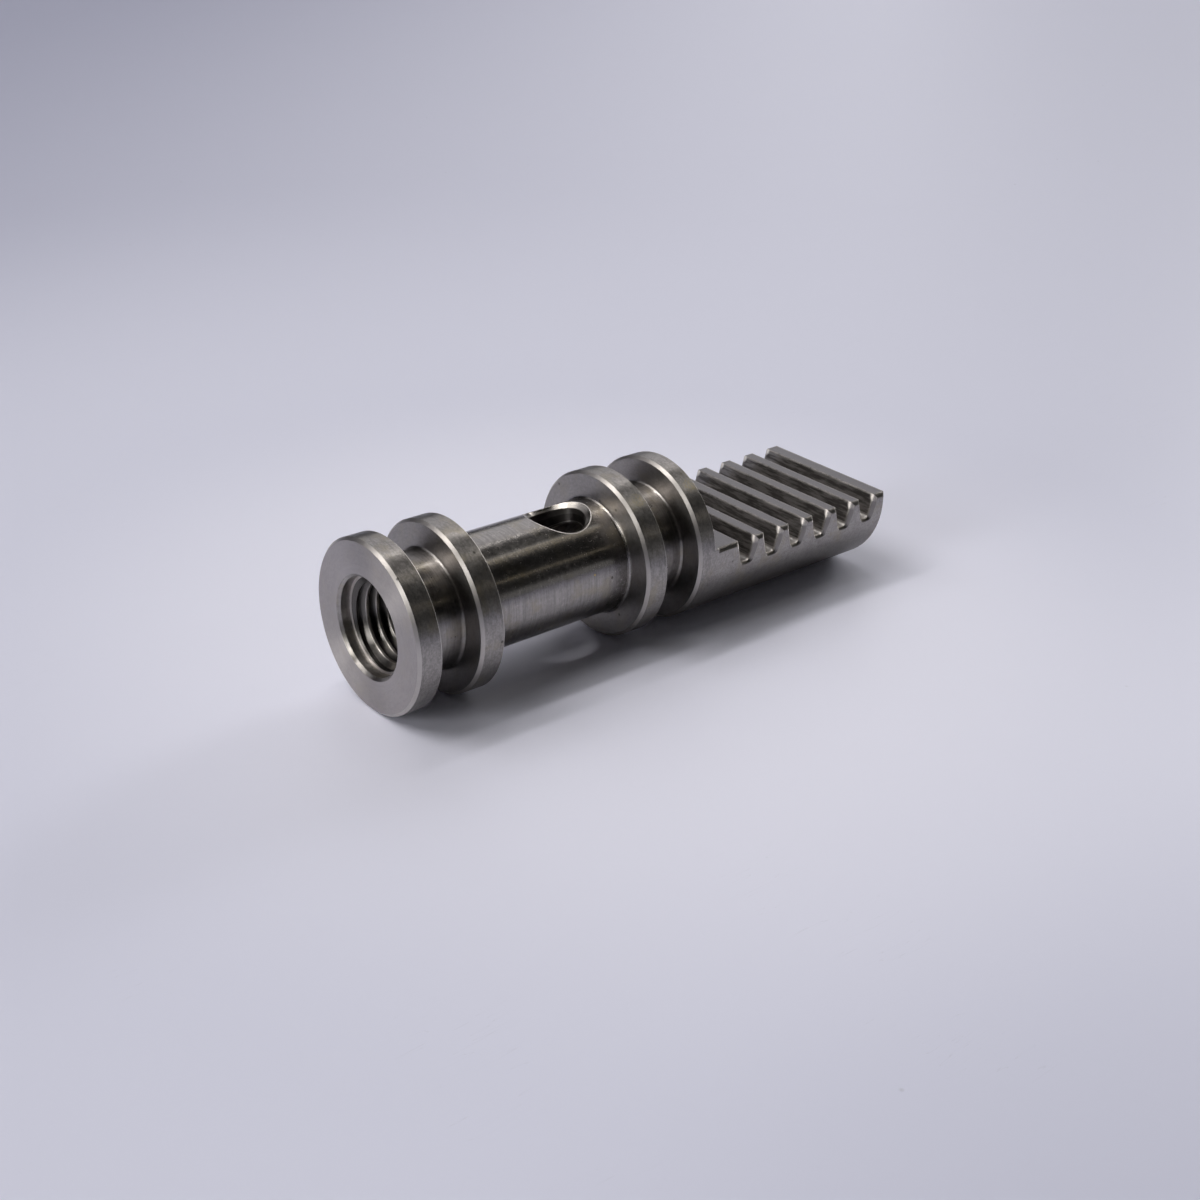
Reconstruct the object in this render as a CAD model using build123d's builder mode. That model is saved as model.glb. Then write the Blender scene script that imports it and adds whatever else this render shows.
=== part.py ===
from build123d import *
from math import cos, pi, radians, sin, sqrt, tan
import os

# A one-piece valve spool of stainless steel, turned from bar and milled with a rack at one end.
# It lies along X with its threaded face at the minus X end, and the rack's teeth point up.
# The origin is on the turning axis, halfway along the spool. All sizes are in millimetres.

# Turned body
land_radius = 7.5
seal_land_width = 2.2
seal_groove_width = 3.8
seal_groove_depth = 2.4
seal_groove_root_radius = 0.3
waist_length = 15.1
waist_depth = 2.4
waist_root_radius = 0.3
shoulder_land_width = 1.9
rack_shank_length = 22.0
lead_chamfer = 0.25
edge_break = 0.1
end_chamfer = 0.3

# Axial bore: a counterbored M8 x 1 thread that runs on as a drilled passage, past the cross hole's centre
counterbore_radius = 4.25
counterbore_depth = 1.1
mouth_chamfer = 0.25
thread_major_radius = 4.0
thread_length = 9.0
passage_radius = 3.35
passage_past_hole = 3.3
drill_point_angle = 118.0

# Cross hole through the waist, into the passage, with its centre just before the third land
cross_hole_radius = 2.4
cross_hole_to_land = 4.0
cross_hole_chamfer = 0.45

# Rack milled into the shank
flat_height = 1.0
rack_module = 1.0
pressure_angle = 14.5
tooth_gap_count = 6
tooth_depth_in_modules = 2.25
root_fillet_in_modules = 0.3
last_gap_from_end = 2.4
rack_burr_bevel = 0.3

# Stations along the spool, from the threaded face to the rack end
spool_length = (
    3 * seal_land_width + 2 * seal_groove_width + waist_length + shoulder_land_width + rack_shank_length
)
front_x = -spool_length / 2
groove_1_x = front_x + seal_land_width
land_2_x = groove_1_x + seal_groove_width
waist_x = land_2_x + seal_land_width
land_3_x = waist_x + waist_length
groove_2_x = land_3_x + seal_land_width
land_4_x = groove_2_x + seal_groove_width
shoulder_x = land_4_x + shoulder_land_width
end_x = shoulder_x + rack_shank_length
seal_groove_radius = land_radius - seal_groove_depth
waist_radius = land_radius - waist_depth

# Stations of the bore and the rack
thread_x = front_x + counterbore_depth
thread_end_x = thread_x + thread_length
passage_x = thread_end_x + thread_major_radius - passage_radius
drill_point_length = passage_radius / tan(radians(drill_point_angle / 2))
cross_hole_x = land_3_x - cross_hole_to_land
passage_end_x = cross_hole_x + passage_past_hole
tooth_pitch = pi * rack_module
last_gap_x = end_x - last_gap_from_end
gap_floor_height = flat_height - tooth_depth_in_modules * rack_module
flank_slope = tan(radians(pressure_angle))
flat_half_width = sqrt(land_radius**2 - flat_height**2)
bevel_reach = 2 * rack_burr_bevel
past_end_x = end_x + land_radius
over_rack_height = land_radius + bevel_reach
root_cones = 3
touch = 0.01


def rounded_root(wall_x, floor_radius, root_radius, ahead):
    """Section points from a wall down to the floor, which lies ahead of the wall at 1 or behind it at -1."""
    centre_x = wall_x + ahead * root_radius
    centre_radius = floor_radius + root_radius
    turns = [radians(90) * step / root_cones for step in range(root_cones + 1)]
    return [
        (centre_x - ahead * root_radius * cos(turn), centre_radius - root_radius * sin(turn))
        for turn in turns
    ]


def recess(front_wall_x, back_wall_x, floor_radius, root_radius):
    """Section points of a groove or waist between two lands, with both of its roots rounded."""
    down = rounded_root(front_wall_x, floor_radius, root_radius, 1)
    up = rounded_root(back_wall_x, floor_radius, root_radius, -1)
    return [*down, *reversed(up)]


def rims(part, stations, radius):
    """The circular edges of one radius at the given stations along the spool."""
    circles = part.edges().filter_by(GeomType.CIRCLE)
    of_radius = [edge for edge in circles if abs(edge.radius - radius) < touch]
    return [edge for edge in of_radius if any(abs(edge.arc_center.X - x) < touch for x in stations)]


def half_width_of_gap(height):
    """Half the width of a tooth gap at a height, straight-sided as in any rack."""
    above_pitch_line = height - (flat_height - rack_module)
    return tooth_pitch / 4 + above_pitch_line * flank_slope


def rack_cut_outline(plane, start_x):
    """The air above the flat and in the tooth gaps, as a sketch on the spool's long section."""
    floor_half = half_width_of_gap(gap_floor_height)
    mouth_half = half_width_of_gap(flat_height)
    with BuildSketch(plane) as outline:
        with BuildLine():
            Polyline(
                (start_x, flat_height),
                (past_end_x, flat_height),
                (past_end_x, over_rack_height),
                (start_x, over_rack_height),
                close=True,
            )
        make_face()
        for gap in range(tooth_gap_count):
            centre_x = last_gap_x - gap * tooth_pitch
            with BuildLine():
                Polyline(
                    (centre_x - floor_half, gap_floor_height),
                    (centre_x + floor_half, gap_floor_height),
                    (centre_x + mouth_half, flat_height),
                    (centre_x - mouth_half, flat_height),
                    close=True,
                )
            make_face()
        floor_corners = outline.vertices().group_by(Axis.Y)[0]
        fillet(floor_corners, root_fillet_in_modules * rack_module)
    return outline.sketch


# Where the rack's cut comes out of the shank's sides, its outline is bevelled to clear the burr
with BuildPart() as burr_bevels:
    bevel_start = Plane.XZ.offset(flat_half_width - rack_burr_bevel)
    extrude(rack_cut_outline(bevel_start, shoulder_x + bevel_reach), amount=bevel_reach, taper=-45)
    mirror(about=Plane.XZ)


with BuildPart() as valve_spool:
    # Lands, seal grooves, waist and shank, turned in one setting, each root rounded by a few short cones
    with BuildSketch(Plane.XZ):
        with BuildLine():
            Polyline(
                (front_x, 0),
                (front_x, land_radius),
                (groove_1_x, land_radius),
                *recess(groove_1_x, land_2_x, seal_groove_radius, seal_groove_root_radius),
                (land_2_x, land_radius),
                (waist_x, land_radius),
                *recess(waist_x, land_3_x, waist_radius, waist_root_radius),
                (land_3_x, land_radius),
                (groove_2_x, land_radius),
                *recess(groove_2_x, land_4_x, seal_groove_radius, seal_groove_root_radius),
                (land_4_x, land_radius),
                (end_x, land_radius),
                (end_x, 0),
                close=True,
            )
        make_face()
    revolve(axis=Axis.X)

    # Each land leads in with a chamfer and has its back edge only broken
    chamfer(rims(valve_spool, (front_x, land_2_x, land_3_x, land_4_x), land_radius), lead_chamfer)
    chamfer(rims(valve_spool, (groove_1_x, waist_x, groove_2_x), land_radius), edge_break)
    chamfer(rims(valve_spool, (end_x,), land_radius), end_chamfer)

    # Counterbore, thread at its major radius, passage and drill point
    with BuildSketch(Plane.XZ):
        with BuildLine():
            Polyline(
                (front_x, 0),
                (front_x, counterbore_radius + mouth_chamfer),
                (front_x + mouth_chamfer, counterbore_radius),
                (thread_x, counterbore_radius),
                (thread_x, thread_major_radius),
                (thread_end_x, thread_major_radius),
                (passage_x, passage_radius),
                (passage_end_x, passage_radius),
                (passage_end_x + drill_point_length, 0),
                close=True,
            )
        make_face()
    revolve(axis=Axis.X, mode=Mode.SUBTRACT)

    # Cross hole through both walls of the waist, chamfered where it comes out
    with BuildSketch(Plane.XY):
        with Locations((cross_hole_x, 0)):
            Circle(cross_hole_radius)
    extrude(amount=land_radius, both=True, mode=Mode.SUBTRACT)
    hole_curves = valve_spool.edges(Select.LAST).filter_by(GeomType.LINE, reverse=True)
    outer_rims = [curve for curve in hole_curves if abs(curve.center().Z) > passage_radius]
    chamfer(outer_rims, cross_hole_chamfer)

    # Flat and tooth gaps, cut straight across the shank, and the shoulder's edge broken
    extrude(rack_cut_outline(Plane.XZ, shoulder_x), amount=land_radius, both=True, mode=Mode.SUBTRACT)
    add(burr_bevels.part, mode=Mode.SUBTRACT)
    chamfer(rims(valve_spool, (shoulder_x,), land_radius), edge_break)

valve_spool.part.label = "valve_spool"

os.makedirs("parts", exist_ok=True)
export_step(valve_spool.part, "parts/valve_spool.step")
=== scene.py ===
"""A valve spool of turned stainless steel with a milled rack, on a pale floor. Sizes are in metres."""

import math

import bmesh
import bpy
from mathutils import Matrix, Quaternion, Vector


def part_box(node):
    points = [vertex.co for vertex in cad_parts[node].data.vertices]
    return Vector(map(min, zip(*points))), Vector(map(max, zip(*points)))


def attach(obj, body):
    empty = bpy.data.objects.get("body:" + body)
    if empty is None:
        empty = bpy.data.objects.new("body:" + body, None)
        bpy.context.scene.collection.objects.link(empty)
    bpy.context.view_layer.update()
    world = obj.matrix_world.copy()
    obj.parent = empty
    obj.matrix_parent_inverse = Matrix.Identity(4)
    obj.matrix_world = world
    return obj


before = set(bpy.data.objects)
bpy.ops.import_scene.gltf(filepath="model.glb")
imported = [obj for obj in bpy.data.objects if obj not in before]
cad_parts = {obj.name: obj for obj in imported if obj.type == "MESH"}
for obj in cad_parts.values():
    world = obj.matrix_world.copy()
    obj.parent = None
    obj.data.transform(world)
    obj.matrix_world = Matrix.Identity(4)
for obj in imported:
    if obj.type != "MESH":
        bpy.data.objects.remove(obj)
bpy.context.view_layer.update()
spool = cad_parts["valve_spool"]
low_corner, high_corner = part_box("valve_spool")

mm = 0.001
touch = 0.01 * mm
front_x = low_corner.x
end_x = high_corner.x
floor_z = low_corner.z
land_radius = high_corner.y

# Places and sizes on the spool, as its source has them
shoulder_x = end_x - 22.0 * mm
waist_start_x = front_x + 8.2 * mm
waist_length = 15.1 * mm
waist_end_x = waist_start_x + waist_length
waist_radius = land_radius - 2.4 * mm
lead_chamfer = 0.25 * mm
flat_height = 1.0 * mm
gap_floor_height = -1.25 * mm
burr_bevel = 0.3 * mm
cross_hole_x = waist_end_x - 4.0 * mm
cross_hole_radius = 2.4 * mm
cross_hole_chamfer = 0.45 * mm
counterbore_radius = 4.25 * mm
mouth_chamfer = 0.25 * mm
thread_start_x = front_x + 1.1 * mm
thread_length = 9.0 * mm
thread_pitch = 1.0 * mm
thread_major_radius = 4.0 * mm

# The thread's own ridge, which only the look has
thread_minor_radius = 3.46 * mm
thread_crest_width = thread_pitch / 4
thread_crest_round = 0.02 * mm
thread_gap_width = thread_pitch / 8
thread_sunk_in_wall = 0.02 * mm
thread_start_turn = 0.16
thread_run_out_turns = 0.5
thread_steps_per_turn = 96
thread_sharp_angle = math.radians(50)

# How far a zone reaches, whether of a finish or of painted light and shade. A fade goes from none of it to
# all of it.
skin = 0.04 * mm
land_edge_depth = lead_chamfer + 0.05 * mm
recess_finish_height = 0.2 * mm
gap_reflection_height = 0.35 * mm
ledge_highlight_depth = 0.5 * mm
countersink_middle = cross_hole_radius + cross_hole_chamfer * 0.6
countersink_half_width = 0.25 * mm
hole_rim_middle = cross_hole_radius + cross_hole_chamfer + touch / 2
hole_rim_half_width = 0.035 * mm
thread_fade = (counterbore_radius - 0.05 * mm, counterbore_radius - 0.15 * mm)
thread_root_fade = (thread_minor_radius + touch, thread_minor_radius + 9 * touch)
tooth_corner_y = land_radius - 0.2 * mm
tooth_corner_z = flat_height - burr_bevel / 2
tooth_corner_fade = (0.62 * mm, 0.28 * mm)
tooth_end_fade = (land_radius - 0.65 * mm, land_radius - 0.35 * mm)

# How far a normal leans along a direction, and how much a slanting one may differ from 45 degrees
straight = 0.95
upright = 0.9
slanting = 0.7
lead_chamfer_give = 0.15
back_edge_give = 0.3
burr_bevel_give = 0.4
leaning_fade = (0.3, 0.6)
level_fade = (0.6, 0.4)

# Sizes of the steel's marks, and how the pits fade in from their edge to their middle
turning_line = 0.11 * mm
streak_width = 0.20 * mm
grain_size = 0.17 * mm
mottle_size = 0.42 * mm
wave_size = 1.3 * mm
stain_size = 2.2 * mm
pit_spacing = 1.1 * mm
pit_share = 0.07
pit_fade = (0.16, 0.06)

# How high the marks stand outside and in a recess, as shares of the relief
fine_relief = 0.009 * mm
wave_relief = 0.012 * mm
cut_height = 0.5
cut_height_in_recess = 0.22
cut_height_in_mouth = 0.04
streak_height = 0.55
streak_height_in_recess = 0.08
grain_height = 0.65
grain_height_in_recess = 0.08
grain_height_on_rack = 0.35
wave_height = 1.0
wave_height_in_recess = 0.08
pit_depth = 0.9

# From where to where each pattern's noise fades in, and the most that it then shows
cloud_fade = (0.28, 0.72)
stain_fade = (0.50, 0.68)
stain_share = 0.5
stain_grain_fade = (0.42, 0.56)
scrape_fade = (0.48, 0.64)
scrape_share = 0.5
scrape_share_sheltered = 0.15
smear_fade = (0.40, 0.62)

# Edges are rounded a little, and painted bright in patches of wear where the rounded normal turns from the
# face's own
turned_edge_radius = 0.06 * mm
milled_edge_radius = 0.36 * mm
edge_samples = 8
edge_fade = (0.999, 0.93)
worn_highlight_fade = (0.30, 0.55)

# The steel's roughness, what the recesses take off it as gloss, and what other zones add
anisotropy = 0.85
satin_fade = (0.25, 0.75)
satin_least = 0.28
satin_most = 0.34
groove_gloss = 0.01
waist_gloss = 0.06
rim_roughness = 0.03
face_roughness = 0.10
lead_chamfer_roughness = 0.10
worn_edge_roughness = 0.12
edge_highlight_roughness = 0.30

# Small marks that the photograph shows on the lands and the waist
dark_pits = (Vector((-19.06, -4.24, 6.18)) * mm, Vector((-5.27, -5.09, 0.31)) * mm)
dark_pit_size = 0.16 * mm
yellow_stains = (Vector((-1.87, -4.12, 6.26)) * mm, Vector((4.04, -4.20, 6.21)) * mm)
yellow_stain_size = 0.9 * mm
yellow_chip = Vector((-7.14, -4.99, 1.04)) * mm
yellow_chip_size = 0.10 * mm

# Colours of the steel where it is clean, marked, cut or worn, and painted highlights and shade on its edges
# and in its hollows
clean_dark = (0.242, 0.229, 0.219, 1.0)
clean_light = (0.398, 0.376, 0.359, 1.0)
stain_yellow = (0.32, 0.285, 0.215, 1.0)
scrape_grey = (0.20, 0.19, 0.181, 1.0)
face_grey = (0.447, 0.417, 0.411, 1.0)
ledge_highlight = (0.62, 0.585, 0.56, 1.0)
wall_shade = (0.245, 0.232, 0.226, 1.0)
flank_brown = (0.105, 0.098, 0.092, 1.0)
flank_light = (0.30, 0.284, 0.272, 1.0)
tooth_top_dark = (0.165, 0.158, 0.166, 1.0)
gap_floor_reflection = (0.48, 0.46, 0.44, 1.0)
burr_bevel_grey = (0.23, 0.22, 0.215, 1.0)
tooth_end_highlight = (0.62, 0.59, 0.56, 1.0)
lead_chamfer_light = (0.56, 0.53, 0.505, 1.0)
countersink_grey = (0.42, 0.395, 0.365, 1.0)
hole_shade = (0.11, 0.105, 0.10, 1.0)
thread_root_shade = (0.07, 0.066, 0.062, 1.0)
thread_crest_highlight = (0.60, 0.57, 0.54, 1.0)
worn_edge_highlight_color = (0.52, 0.49, 0.46, 1.0)
edge_highlight_color = (0.82, 0.79, 0.76, 1.0)
tooth_corner_highlight = (1.0, 0.96, 0.92, 1.0)
pit_dark = (0.06, 0.055, 0.05, 1.0)
chip_yellow = (0.75, 0.55, 0.12, 1.0)

# The floor, its colours, and its dust specks and scratches
floor_half_side = 1.5
floor_lit_near = (0.835, 0.847, 0.975, 1.0)
floor_lit_far = (0.700, 0.718, 0.857, 1.0)
floor_shade = (0.02, 0.03, 0.14, 1.0)
floor_mark = (0.12, 0.12, 0.12, 1.0)
floor_roughness = 0.42
speck_spacing = 6.5 * mm
speck_share = 0.22
speck_fade = (0.045, 0.015)
speck_strength = 0.30
scratch_spacing = 2.2 * mm
scratch_stretch = (0.25, 5.0, 1.0)
scratch_level = 0.60
scratch_fade = (0.006, 0.0)
scratch_strength = 0.10
scratch_patch_size = 16 * mm
scratch_patch_fade = (0.60, 0.70)
scratch_sway = 6 * mm
scratch_sway_size = 9 * mm

# Where the floor's painted light and shade fade in, measured from the middle of the spool
near_light_fade = (65 * mm, 25 * mm)
back_shade_fade = (-100 * mm, 320 * mm)
back_shade_share = 0.48
past_spool_fade = (60 * mm, 180 * mm)
past_spool_least = 0.08
front_shade_fade = (-42 * mm, -80 * mm)
front_shade_share = 0.18
wall_fade = (800 * mm, 1450 * mm)

# The camera, found from the ellipses of the lands in the photograph
camera_place = Vector((-87.852, -100.614, 62.082)) * mm
camera_forward = Vector((0.57806, 0.67948, -0.45184))
camera_roll = math.radians(1.769)
camera_lens = 49.621
camera_sensor_width = 36.0
camera_nearest = 1.0 * mm
camera_farthest = 10.0

# The lamps stand far off, so the light is even over the floor
lamp_distance = 2.0
watts_per_square_metre = 4.0
along_x = Vector((1.0, 0.0, 0.0))
along_y = Vector((0.0, 1.0, 0.0))
plain_light = (1.0, 0.99, 0.975)
warm_light = (1.0, 0.97, 0.945)
yellow_light = (1.0, 0.88, 0.66)
cool_light = (0.965, 0.955, 1.0)

# The room is dark in the steel, and the camera sees a pale wall beyond the floor
room_dark = (0.01, 0.01, 0.01, 1.0)
wall_color = (0.352, 0.356, 0.429, 1.0)


def add_object(name, data):
    """Puts a mesh, lamp or camera in the scene as an object of its own."""
    made = bpy.data.objects.new(name, data)
    bpy.context.scene.collection.objects.link(made)
    return made


class Graph:
    """Builds a node tree with few words: each call adds a node and returns its output."""

    def __init__(self, tree):
        self.tree = tree
        tree.nodes.clear()

    def node(self, kind, **settings):
        made = self.tree.nodes.new(kind)
        for name, value in settings.items():
            setattr(made, name, value)
        return made

    def feed(self, socket, value):
        if isinstance(value, bpy.types.NodeSocket):
            self.tree.links.new(value, socket)
        else:
            socket.default_value = value

    def math(self, operation, *values):
        made = self.node("ShaderNodeMath", operation=operation)
        for socket, value in zip(made.inputs, values):
            self.feed(socket, value)
        return made.outputs[0]

    def plus(self, a, b):
        return self.math("ADD", a, b)

    def minus(self, a, b):
        return self.math("SUBTRACT", a, b)

    def times(self, a, b):
        return self.math("MULTIPLY", a, b)

    def most(self, a, b):
        return self.math("MAXIMUM", a, b)

    def absolute(self, value):
        return self.math("ABSOLUTE", value)

    def below(self, value, limit):
        return self.math("LESS_THAN", value, limit)

    def above(self, value, limit):
        return self.math("GREATER_THAN", value, limit)

    def near(self, value, middle, reach):
        return self.math("COMPARE", value, middle, reach)

    def vector(self, operation, *values):
        made = self.node("ShaderNodeVectorMath", operation=operation)
        for socket, value in zip(made.inputs, values):
            self.feed(socket, value)
        scalar = operation in ("DOT_PRODUCT", "LENGTH", "DISTANCE")
        return made.outputs["Value" if scalar else "Vector"]

    def join(self, x, y, z):
        made = self.node("ShaderNodeCombineXYZ")
        for socket, value in zip(made.inputs, (x, y, z)):
            self.feed(socket, value)
        return made.outputs[0]

    def split(self, vector):
        made = self.node("ShaderNodeSeparateXYZ")
        self.feed(made.inputs[0], vector)
        return made.outputs

    def noise(self, vector, size=1.0, detail=2.0, roughness=0.5, w=None):
        dimensions = "3D" if w is None else "4D"
        made = self.node("ShaderNodeTexNoise", noise_dimensions=dimensions)
        self.feed(made.inputs["Vector"], vector)
        self.feed(made.inputs["Scale"], 1 / size)
        self.feed(made.inputs["Detail"], detail)
        self.feed(made.inputs["Roughness"], roughness)
        if w is not None:
            self.feed(made.inputs["W"], w)
        return made.outputs[0]

    def spots(self, place, spacing, share, fade):
        """Small round spots in a share of a pattern's cells. The fade is in parts of the spacing."""
        cells = self.node("ShaderNodeTexVoronoi", feature="F1")
        self.feed(cells.inputs["Vector"], place)
        self.feed(cells.inputs["Scale"], 1 / spacing)
        chosen = self.below(self.split(cells.outputs["Color"])[0], share)
        return self.times(chosen, self.ramp(cells.outputs["Distance"], *fade))

    def ramp(self, value, start, end, low=0.0, high=1.0):
        """Goes softly from low to high while the value goes from start to end."""
        made = self.node("ShaderNodeMapRange", interpolation_type="SMOOTHSTEP")
        for socket, number in zip(made.inputs, (value, start, end, low, high)):
            self.feed(socket, number)
        return made.outputs[0]

    def mix(self, factor, a, b):
        made = self.node("ShaderNodeMix", data_type="RGBA")
        self.feed(made.inputs["Factor"], factor)
        self.feed(made.inputs["A"], a)
        self.feed(made.inputs["B"], b)
        return made.outputs["Result"]

    def coat(self, color, mask, share, tint):
        """Lays a share of a tint over a colour where the mask is."""
        return self.mix(self.times(mask, share), color, tint)

    def blend(self, factor, a, b):
        made = self.node("ShaderNodeMix", data_type="FLOAT")
        self.feed(made.inputs[0], factor)
        self.feed(made.inputs[2], a)
        self.feed(made.inputs[3], b)
        return made.outputs[0]

    def mix_vector(self, factor, a, b):
        made = self.node("ShaderNodeMix", data_type="VECTOR")
        self.feed(made.inputs[0], factor)
        self.feed(made.inputs[4], a)
        self.feed(made.inputs[5], b)
        return made.outputs[1]

    def bump(self, height, relief, normal):
        """Bends the normal over a height whose step from 0 to 1 stands for the relief."""
        made = self.node("ShaderNodeBump")
        made.inputs["Strength"].default_value = 1.0
        made.inputs["Distance"].default_value = relief
        self.feed(made.inputs["Height"], height)
        self.feed(made.inputs["Normal"], normal)
        return made.outputs[0]

    def show(self, shader, kind="ShaderNodeOutputMaterial"):
        output = self.node(kind)
        self.feed(output.inputs["Surface"], shader.outputs[0])


class Surface:
    """Where a point of the spool is and which way the steel faces there, for the masks and the marks."""

    def __init__(self, g):
        self.place = g.node("ShaderNodeTexCoord").outputs["Object"]
        self.normal = g.node("ShaderNodeNewGeometry").outputs["True Normal"]
        self.x, self.y, self.z = g.split(self.place)
        self.facing_x, self.facing_y, self.facing_z = g.split(self.normal)
        around = g.join(0.0, self.y, self.z)
        self.radius = g.vector("LENGTH", around)
        self.outward = g.vector("NORMALIZE", around)


def rack_zones(g, at):
    """Masks of what was milled, and of the shank below it that was only turned."""
    inside_shank = g.below(at.radius, land_radius - skin)
    past_shoulder = g.above(at.x, shoulder_x - touch)
    before_end = g.below(at.x, end_x - touch)
    milled = g.times(g.times(inside_shank, past_shoulder), before_end)
    turned = g.minus(1.0, milled)
    sideways = g.near(g.absolute(at.facing_y), slanting, burr_bevel_give)
    return {
        "milled": milled,
        "turned": turned,
        "shank": g.times(turned, past_shoulder),
        "flank": g.times(milled, g.ramp(g.absolute(at.facing_z), *level_fade)),
        "gap_floor": g.times(milled, g.below(at.z, gap_floor_height + gap_reflection_height)),
        "tooth_top": g.times(milled, g.above(at.facing_z, upright)),
        "burr_bevel": g.times(milled, sideways),
    }


def tooth_end_zones(g, at, milled):
    """Masks of the teeth's flanks where they come out at the shank's sides, and of the corners there, both
    lightened as painted highlights.
    """
    steep = g.times(milled, g.ramp(g.absolute(at.facing_x), *leaning_fade))
    reach = g.absolute(at.y)
    corner_y = g.minus(reach, tooth_corner_y)
    corner_z = g.minus(at.z, tooth_corner_z)
    from_corner = g.vector("LENGTH", g.join(0.0, corner_y, corner_z))
    return {
        "tooth_corner": g.times(steep, g.ramp(from_corner, *tooth_corner_fade)),
        "tooth_end": g.times(steep, g.ramp(reach, *tooth_end_fade)),
    }


def waist_zones(g, at):
    """Masks of the waist and of the cross hole with its countersink and the edge round that."""
    waist_middle_x = (waist_start_x + waist_end_x) / 2
    along_waist = g.near(at.x, waist_middle_x, waist_length / 2)
    below_waist = g.below(at.radius, waist_radius - 2 * touch)
    waist = g.times(along_waist, g.below(at.radius, waist_radius + recess_finish_height))
    over_hole = g.vector("SUBTRACT", g.join(at.x, at.y, 0.0), (cross_hole_x, 0.0, 0.0))
    from_hole = g.vector("LENGTH", over_hole)
    countersink = g.near(from_hole, countersink_middle, countersink_half_width)
    return {
        "waist": waist,
        "hole": g.times(below_waist, g.below(from_hole, cross_hole_radius + 3 * touch)),
        "countersink": g.times(below_waist, countersink),
        "hole_rim": g.times(waist, g.near(from_hole, hole_rim_middle, hole_rim_half_width)),
    }


def land_zones(g, at, turned, shank):
    """Masks of the lands' edges, rims and walls, of the threaded face, and of what lies deeper.

    A groove is the floor of a seal groove or of the waist, and a recess is all that was turned within it.
    """
    outer_edge = g.above(at.radius, land_radius - land_edge_depth)
    square = g.above(g.absolute(at.facing_x), straight)
    face = g.times(square, g.below(at.x, thread_start_x + touch))
    return {
        "lead_chamfer": g.times(outer_edge, g.near(at.facing_x, -slanting, lead_chamfer_give)),
        "back_edge": g.times(outer_edge, g.near(at.facing_x, slanting, back_edge_give)),
        "rim": g.times(g.minus(turned, shank), outer_edge),
        "face": face,
        "ledge": g.times(face, g.above(at.x, front_x + ledge_highlight_depth)),
        "wall": g.minus(square, face),
        "groove": g.times(turned, g.near(at.radius, waist_radius, recess_finish_height)),
        "recess": g.times(turned, g.below(at.radius, waist_radius + recess_finish_height)),
    }


def bore_zones(g, at):
    """Masks of the bore's mouth and of the thread's roots and crests, for the painted shade and highlights
    of the thread.
    """
    mouth_radius = counterbore_radius + mouth_chamfer
    before_bore = g.below(at.x, front_x + mouth_chamfer - touch)
    before_rack = g.below(at.x, 0.0)
    in_bore = g.times(g.ramp(at.radius, *thread_fade), before_rack)
    in_thread = g.times(in_bore, g.above(at.x, thread_start_x + 2 * touch))
    at_crest = g.near(at.radius, thread_minor_radius, thread_crest_round)
    return {
        "mouth": g.times(before_bore, g.below(at.radius, mouth_radius + 2 * touch)),
        "thread_root": g.times(in_thread, g.ramp(at.radius, *thread_root_fade)),
        "thread_crest": g.times(in_thread, at_crest),
    }


def steel_zones(g, at):
    """Masks that are 1 on the parts of the spool that were cut or finished in a way of their own."""
    zone = rack_zones(g, at)
    zone.update(tooth_end_zones(g, at, zone["milled"]))
    zone.update(waist_zones(g, at))
    zone.update(land_zones(g, at, zone["turned"], zone["shank"]))
    zone.update(bore_zones(g, at))
    return zone


def sheen_direction(g, at, milled):
    """The sheen runs square to the cuts, which go round the axis where turned and across where milled."""
    round_axis = g.vector("CROSS_PRODUCT", (1.0, 0.0, 0.0), at.outward)
    across_turning = g.vector("CROSS_PRODUCT", at.normal, round_axis)
    across_milling = g.vector("CROSS_PRODUCT", at.normal, (0.0, 1.0, 0.0))
    return g.vector("NORMALIZE", g.mix_vector(milled, across_turning, across_milling))


def round_noise(g, at, width, turns, detail):
    """Noise drawn out round the axis: width is its size along the spool, turns its steps in a radian."""
    _, ring_y, ring_z = g.split(g.vector("MULTIPLY", at.outward, (turns, turns, turns)))
    along = g.math("DIVIDE", at.x, width)
    out = g.math("DIVIDE", at.radius, width)
    return g.noise(g.join(along, ring_y, ring_z), detail=detail, roughness=0.6, w=out)


def drawn_noise(g, place, stretch, detail):
    """Noise of about one millimetre, with its size in each direction divided by the stretch."""
    return g.noise(g.vector("MULTIPLY", place, stretch), mm, detail=detail, roughness=0.6)


def spot_mask(g, place, centre, size):
    """One soft spot of the surface near a place."""
    distance = g.vector("DISTANCE", place, centre)
    return g.ramp(distance, size, size * 0.5)


def steel_marks(g, at, zone):
    """The patterns that the steel's colour, gloss and relief are made from."""
    lines = round_noise(g, at, turning_line, turns=1.5, detail=1.0)
    milling = drawn_noise(g, at.place, stretch=(9.0, 1.2, 9.0), detail=2.0)
    scattered = g.spots(at.place, pit_spacing, pit_share, pit_fade)
    pits = g.times(scattered, g.minus(1.0, zone["recess"]))
    for centre in dark_pits:
        pits = g.most(pits, spot_mask(g, at.place, centre, dark_pit_size))
    return {
        "lines": lines,
        "cuts": g.blend(zone["milled"], lines, milling),
        "streaks": round_noise(g, at, streak_width, turns=9.0, detail=2.0),
        "smears": drawn_noise(g, at.place, stretch=(3.0, 0.4, 3.0), detail=3.0),
        "grain": g.noise(at.place, grain_size, detail=2.0, roughness=0.6),
        "mottle": g.noise(at.place, mottle_size, detail=3.0, roughness=0.7),
        "stains": g.noise(at.place, stain_size, detail=3.0, roughness=0.6),
        "waves": g.noise(at.place, wave_size, detail=2.0, roughness=0.5),
        "pits": pits,
    }


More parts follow.
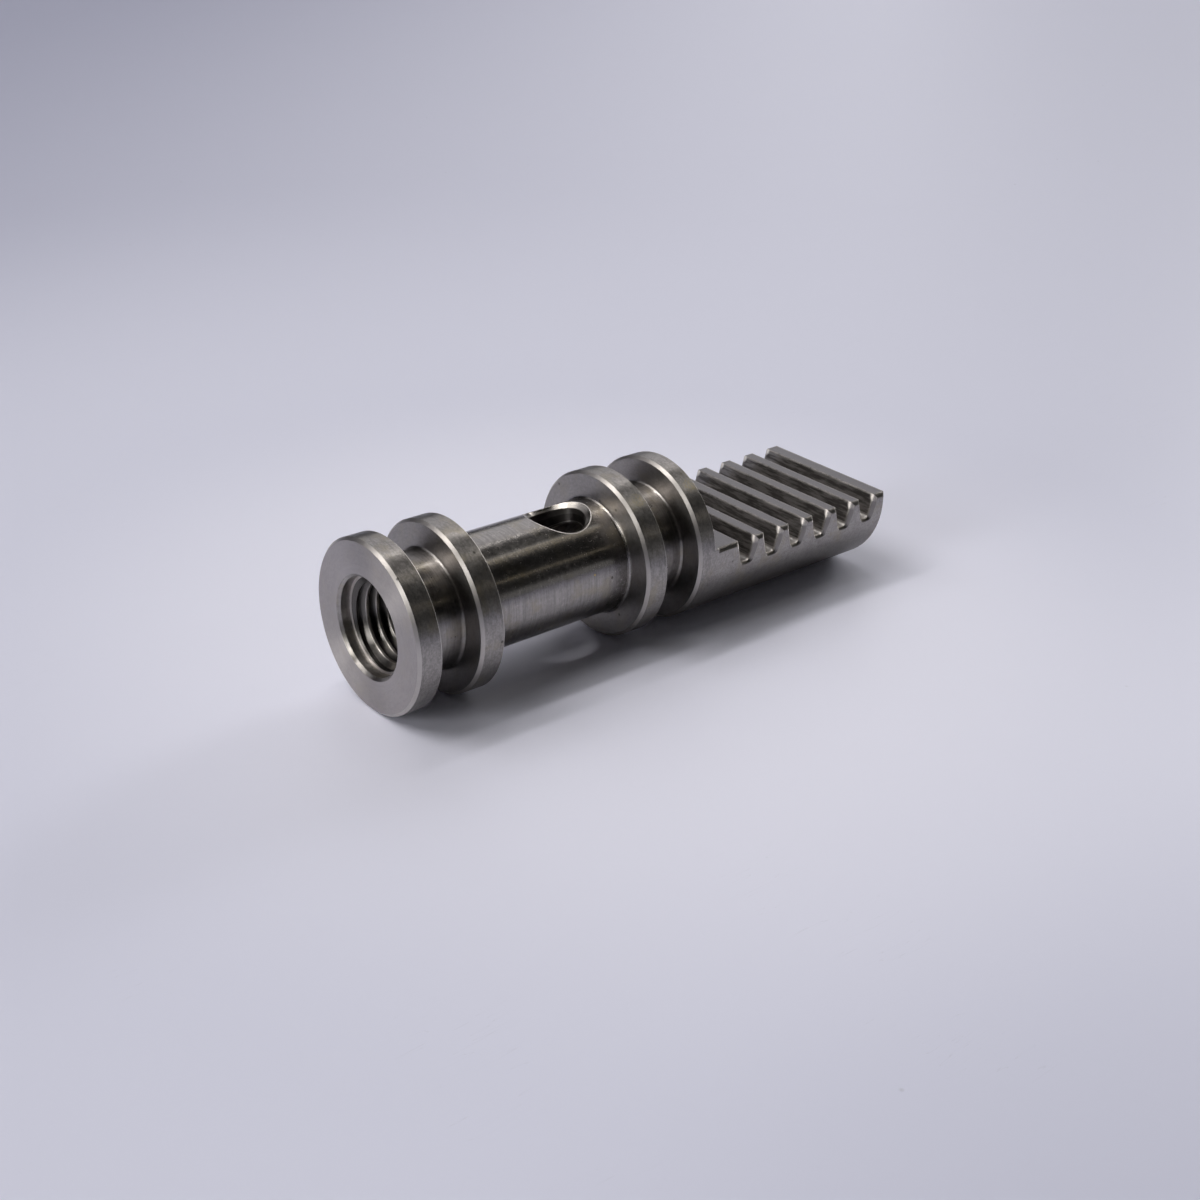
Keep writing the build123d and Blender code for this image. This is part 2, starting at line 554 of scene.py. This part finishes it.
def steel_relief(g, zone, marks, edge_normal):
    """The normal under the marks' fine relief and slow waves, smoothest in the recesses and the mouth."""
    cuts = g.blend(zone["recess"], cut_height, cut_height_in_recess)
    cuts = g.blend(zone["mouth"], cuts, cut_height_in_mouth)
    streaks = g.blend(zone["recess"], streak_height, streak_height_in_recess)
    grains = g.blend(zone["recess"], grain_height, grain_height_in_recess)
    grains = g.blend(zone["milled"], grains, grain_height_on_rack)
    waves = g.blend(zone["recess"], wave_height, wave_height_in_recess)
    height = g.times(marks["cuts"], cuts)
    height = g.plus(height, g.times(marks["streaks"], streaks))
    height = g.plus(height, g.times(marks["grain"], grains))
    height = g.minus(height, g.times(marks["pits"], pit_depth))
    fine = g.bump(height, fine_relief, edge_normal)
    return g.bump(g.times(marks["waves"], waves), wave_relief, fine)


def clean_steel_color(g, at, zone, marks):
    """The colour of the turned steel, mottled, with yellow stains and grey scrapes."""
    fine = g.blend(zone["recess"], marks["grain"], marks["lines"])
    cloud = g.blend(0.5, marks["mottle"], fine)
    clean = g.mix(g.ramp(cloud, *cloud_fade), clean_dark, clean_light)
    yellowed = g.ramp(marks["stains"], *stain_fade, high=stain_share)
    for centre in yellow_stains:
        spot = spot_mask(g, at.place, centre, yellow_stain_size)
        yellowed = g.most(yellowed, g.times(spot, g.ramp(marks["grain"], *stain_grain_fade)))
    stained = g.mix(yellowed, clean, stain_yellow)
    sheltered = g.most(zone["shank"], zone["recess"])
    most_scraped = g.blend(sheltered, scrape_share, scrape_share_sheltered)
    scrapes = g.times(g.ramp(marks["streaks"], *scrape_fade), most_scraped)
    return g.mix(scrapes, stained, scrape_grey)


def steel_color(g, at, zone, marks):
    """The colour of each zone, laid over the clean steel in the order in which they hide each other."""
    smeared = g.mix(g.ramp(marks["smears"], *smear_fade), flank_brown, flank_light)
    color = clean_steel_color(g, at, zone, marks)
    color = g.coat(color, zone["face"], share=0.6, tint=face_grey)
    # Painted highlight: the ledge at the bottom of the counterbore is made much lighter
    color = g.coat(color, zone["ledge"], share=1.0, tint=ledge_highlight)
    # Painted shade: the walls of the lands are darkened for the shade in the grooves
    color = g.coat(color, zone["wall"], share=0.55, tint=wall_shade)
    color = g.coat(color, zone["flank"], share=0.9, tint=smeared)
    color = g.coat(color, zone["tooth_top"], share=0.8, tint=tooth_top_dark)
    # Painted reflection: the floors of the rack's gaps, which lie in shade, are made much lighter
    color = g.coat(color, zone["gap_floor"], share=1.0, tint=gap_floor_reflection)
    color = g.coat(color, zone["burr_bevel"], share=0.7, tint=burr_bevel_grey)
    # Painted highlight: the flanks are lightened where the teeth come out at the shank's sides
    color = g.coat(color, zone["tooth_end"], share=0.22, tint=tooth_end_highlight)
    color = g.coat(color, zone["lead_chamfer"], share=0.75, tint=lead_chamfer_light)
    color = g.coat(color, zone["countersink"], share=1.0, tint=countersink_grey)
    # Painted shade: the wall of the cross hole is darkened
    color = g.coat(color, zone["hole"], share=0.8, tint=hole_shade)
    # Painted shade in the thread's roots and painted highlight on its crests
    color = g.coat(color, zone["thread_root"], share=0.85, tint=thread_root_shade)
    color = g.coat(color, zone["thread_crest"], share=0.8, tint=thread_crest_highlight)
    # Painted highlight: edges are lightened in patches of wear
    color = g.coat(color, zone["worn_edge_highlight"], share=0.45, tint=worn_edge_highlight_color)
    # Painted highlight: the back edge breaks, the cross hole's rim and the teeth's corners are made bright
    # all along
    color = g.coat(color, zone["edge_highlight"], share=1.0, tint=edge_highlight_color)
    # Painted highlight: the corners of the teeth at the shank's sides are made near white
    color = g.coat(color, zone["tooth_corner"], share=1.0, tint=tooth_corner_highlight)
    color = g.coat(color, marks["pits"], share=0.75, tint=pit_dark)
    chip = spot_mask(g, at.place, yellow_chip, yellow_chip_size)
    return g.coat(color, chip, share=1.0, tint=chip_yellow)


def steel_roughness(g, zone, marks):
    """Satin all over, glossier in the grooves and above all in the waist, and duller on the edges painted
    bright.
    """
    satin = g.ramp(marks["mottle"], *satin_fade, low=satin_least, high=satin_most)
    gloss = g.times(zone["groove"], g.blend(zone["waist"], groove_gloss, waist_gloss))
    rough = g.minus(satin, gloss)
    rough = g.plus(rough, g.times(zone["rim"], rim_roughness))
    rough = g.plus(rough, g.times(zone["face"], face_roughness))
    rough = g.plus(rough, g.times(zone["lead_chamfer"], lead_chamfer_roughness))
    rough = g.plus(rough, g.times(zone["worn_edge_highlight"], worn_edge_roughness))
    return g.plus(rough, g.times(zone["edge_highlight"], edge_highlight_roughness))


def rounded_edges(g, milled):
    """The normal with all edges rounded a little, more so on the milled teeth."""
    edge = g.node("ShaderNodeBevel", samples=edge_samples)
    g.feed(edge.inputs["Radius"], g.blend(milled, turned_edge_radius, milled_edge_radius))
    return edge.outputs[0]


def edge_highlight_zones(g, at, zone, marks, edge_normal):
    """Masks of the edges lightened in patches of wear as a painted highlight, and of those given a painted
    highlight all along.
    """
    alike = g.vector("DOT_PRODUCT", edge_normal, at.normal)
    worn_highlight = g.times(g.ramp(alike, *edge_fade), g.ramp(marks["mottle"], *worn_highlight_fade))
    broken_edges = g.most(zone["back_edge"], zone["hole_rim"])
    return {
        "worn_edge_highlight": g.times(worn_highlight, g.minus(1.0, zone["countersink"])),
        # Painted highlight along these edges
        "edge_highlight": g.most(broken_edges, zone["tooth_corner"]),
    }


def steel_material():
    """Stainless steel with the marks that turning and milling leave."""
    material = bpy.data.materials.new("stainless_steel")
    material.use_nodes = True
    g = Graph(material.node_tree)
    at = Surface(g)
    zone = steel_zones(g, at)
    marks = steel_marks(g, at, zone)
    edge_normal = rounded_edges(g, zone["milled"])
    zone.update(edge_highlight_zones(g, at, zone, marks, edge_normal))
    shader = g.node("ShaderNodeBsdfPrincipled")
    shader.inputs["Metallic"].default_value = 1.0
    shader.inputs["Anisotropic"].default_value = anisotropy
    g.feed(shader.inputs["Base Color"], steel_color(g, at, zone, marks))
    g.feed(shader.inputs["Roughness"], steel_roughness(g, zone, marks))
    g.feed(shader.inputs["Normal"], steel_relief(g, zone, marks, edge_normal))
    g.feed(shader.inputs["Tangent"], sheen_direction(g, at, zone["milled"]))
    g.show(shader)
    return material


def floor_marks(g, place):
    """Dust specks and hairline scratches."""
    specks = g.spots(place, speck_spacing, speck_share, speck_fade)
    sway = g.times(g.noise(place, scratch_sway_size, detail=1.0), scratch_sway)
    bent = g.vector("ADD", place, g.join(sway, 0.0, 0.0))
    hairs = g.noise(g.vector("MULTIPLY", bent, scratch_stretch), scratch_spacing, detail=1.0)
    patches = g.ramp(g.noise(place, scratch_patch_size, detail=1.0), *scratch_patch_fade)
    thin = g.ramp(g.absolute(g.minus(hairs, scratch_level)), *scratch_fade)
    scratches = g.times(thin, patches)
    return g.most(g.times(specks, speck_strength), g.times(scratches, scratch_strength))


def floor_material():
    """A pale, slightly glossy table top, its colour painted with shade at the back left and at the front,
    and painted lighter near the spool.
    """
    material = bpy.data.materials.new("floor")
    material.use_nodes = True
    g = Graph(material.node_tree)
    place = g.node("ShaderNodeTexCoord").outputs["Object"]
    x, y, _ = g.split(place)
    distance = g.vector("LENGTH", place)
    to_back_left = g.ramp(g.minus(y, x), *back_shade_fade, high=back_shade_share)
    past_spool = g.ramp(distance, *past_spool_fade, low=past_spool_least)
    to_front = g.ramp(y, *front_shade_fade, high=front_shade_share)
    shade = g.plus(g.times(to_back_left, past_spool), to_front)
    # Painted light: the floor is made lighter near the spool
    lit = g.mix(g.ramp(distance, *near_light_fade), floor_lit_far, floor_lit_near)
    shaded = g.mix(shade, lit, floor_shade)
    shader = g.node("ShaderNodeBsdfPrincipled")
    shader.inputs["Roughness"].default_value = floor_roughness
    g.feed(shader.inputs["Base Color"], g.mix(floor_marks(g, place), shaded, floor_mark))

    # Far from the spool the floor runs into the pale wall that the camera sees beyond it
    wall = g.node("ShaderNodeEmission")
    wall.inputs["Color"].default_value = wall_color
    seen = g.node("ShaderNodeLightPath").outputs["Is Camera Ray"]
    joined = g.node("ShaderNodeMixShader")
    g.feed(joined.inputs[0], g.times(seen, g.ramp(distance, *wall_fade)))
    g.feed(joined.inputs[1], shader.outputs[0])
    g.feed(joined.inputs[2], wall.outputs[0])
    g.show(joined)
    return material


def make_floor():
    """The table top that the spool lies on, which isn't part of it."""
    corners = [
        (-floor_half_side, -floor_half_side, floor_z),
        (floor_half_side, -floor_half_side, floor_z),
        (floor_half_side, floor_half_side, floor_z),
        (-floor_half_side, floor_half_side, floor_z),
    ]
    mesh = bpy.data.meshes.new("floor")
    mesh.from_pydata(corners, [], [(0, 1, 2, 3)])
    mesh.materials.append(floor_material())
    floor = add_object("floor", mesh)


def thread_profile():
    """Section points of the ridge, from its middle along the spool and from the axis out."""
    root_half = (thread_pitch - thread_gap_width) / 2
    crest_half = thread_crest_width / 2
    base = thread_major_radius + thread_sunk_in_wall
    shoulder_half = crest_half + thread_crest_round / 2
    shoulder_radius = thread_minor_radius + thread_crest_round
    top_half = crest_half - thread_crest_round
    return [
        (-root_half, base),
        (-shoulder_half, shoulder_radius),
        (-top_half, thread_minor_radius),
        (top_half, thread_minor_radius),
        (shoulder_half, shoulder_radius),
        (root_half, base),
    ]


def make_thread(material):
    """The ridge of the bore's thread, right-handed, cut off by a chamfer where it starts and ends."""
    profile = thread_profile()
    base = thread_major_radius + thread_sunk_in_wall
    thread_end_x = thread_start_x + thread_length
    first = int(-thread_run_out_turns * thread_steps_per_turn)
    last = int((thread_length / thread_pitch + thread_run_out_turns) * thread_steps_per_turn)
    made = bmesh.new()
    rings = []
    for step in range(first, last + 1):
        turn = step / thread_steps_per_turn
        angle = 2 * math.pi * turn
        centre_x = thread_start_x + (turn + thread_start_turn) * thread_pitch
        ring = []
        for offset, radius in profile:
            x = min(max(centre_x + offset, thread_start_x), thread_end_x)
            radius = max(radius, base - (x - thread_start_x), base - (thread_end_x - x))
            ring.append(made.verts.new((x, radius * math.cos(angle), radius * math.sin(angle))))
        rings.append(ring)
    for ring, following in zip(rings, rings[1:]):
        for edge in range(len(profile) - 1):
            made.faces.new((ring[edge], following[edge], following[edge + 1], ring[edge + 1]))
    bmesh.ops.remove_doubles(made, verts=made.verts, dist=touch / 100)
    bmesh.ops.recalc_face_normals(made, faces=made.faces)
    mesh = bpy.data.meshes.new("bore_thread")
    made.to_mesh(mesh)
    made.free()
    mesh.shade_smooth()
    mesh.set_sharp_from_angle(angle=thread_sharp_angle)
    mesh.materials.append(material)
    thread = add_object("bore_thread", mesh)
    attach(thread, "root")


def add_lamp(name, tilt, along, width, height, glow, tint=plain_light, run=along_x):
    """A soft lamp that faces the spool, with its sizes given for a distance of one metre.

    It stands tilt degrees behind the zenith and along degrees towards the rack. Its width goes with run.
    """
    lean = math.radians(tilt)
    swing = math.radians(along)
    away = Vector((math.sin(swing), math.cos(swing) * math.sin(lean), math.cos(swing) * math.cos(lean)))
    across = (run - away * run.dot(away)).normalized()
    up = away.cross(across)
    lamp = bpy.data.lights.new(name, "AREA")
    lamp.shape = "RECTANGLE"
    lamp.color = tint
    lamp.size = width * lamp_distance
    lamp.size_y = height * lamp_distance
    lamp.energy = glow * watts_per_square_metre * lamp.size * lamp.size_y
    holder = add_object(name, lamp)
    holder.location = away * lamp_distance
    holder.rotation_mode = "QUATERNION"
    holder.rotation_quaternion = Matrix((across, up, away)).transposed().to_quaternion()


def make_lamps():
    """The windows, ceiling lights and pale walls of the room that the steel mirrors."""
    add_lamp("left_window", tilt=-1.0, along=-72.6, width=0.25, height=0.50, glow=7.5, run=along_y)
    add_lamp("ceiling_tube", tilt=19.3, along=-14.5, width=1.40, height=0.055, glow=10.8, tint=warm_light)
    add_lamp("ceiling_panel", tilt=19.1, along=-29.8, width=0.54, height=0.73, glow=2.15, tint=warm_light)
    add_lamp("back_wall", tilt=51.7, along=29.4, width=0.88, height=0.73, glow=0.68, tint=cool_light)
    add_lamp("back_left_wall", tilt=50.0, along=-28.0, width=0.50, height=0.45, glow=0.50, tint=cool_light)
    add_lamp("right_window", tilt=35.1, along=67.6, width=0.25, height=0.30, glow=7.5, run=along_y)
    add_lamp("right_wall", tilt=-55.2, along=66.2, width=0.34, height=0.30, glow=0.66, run=along_y)
    add_lamp("small_lamp", tilt=-6.9, along=52.8, width=0.78, height=0.107, glow=0.66)
    add_lamp("room_front", tilt=-89.5, along=47.5, width=0.59, height=0.30, glow=0.32)
    add_lamp("warm_strip", tilt=-12.7, along=25.0, width=1.0, height=0.025, glow=1.2, tint=yellow_light)
    add_lamp("low_warm_strip", tilt=-54.7, along=25.0, width=1.0, height=0.025, glow=0.42, tint=yellow_light)


def make_world():
    """The dark of the room round the lamps, which the camera sees as a pale wall beyond the floor."""
    world = bpy.data.worlds.new("studio")
    bpy.context.scene.world = world
    world.use_nodes = True
    g = Graph(world.node_tree)
    seen = g.node("ShaderNodeLightPath").outputs["Is Camera Ray"]
    shader = g.node("ShaderNodeBackground")
    g.feed(shader.inputs["Color"], g.mix(seen, room_dark, wall_color))
    g.show(shader, "ShaderNodeOutputWorld")


def make_camera():
    """The photograph's camera, in its place and with its slight roll."""
    lens = bpy.data.cameras.new("camera")
    lens.lens = camera_lens
    lens.sensor_width = camera_sensor_width
    lens.clip_start = camera_nearest
    lens.clip_end = camera_farthest
    camera = add_object("camera", lens)
    camera.location = camera_place
    camera.rotation_mode = "QUATERNION"
    level = camera_forward.to_track_quat("-Z", "Y")
    camera.rotation_quaternion = level @ Quaternion((0, 0, 1), camera_roll)
    bpy.context.scene.camera = camera


bpy.context.scene.view_settings.view_transform = "Standard"
make_camera()
make_world()
make_floor()
make_lamps()

steel = steel_material()
spool.data.materials[0] = steel
make_thread(steel)
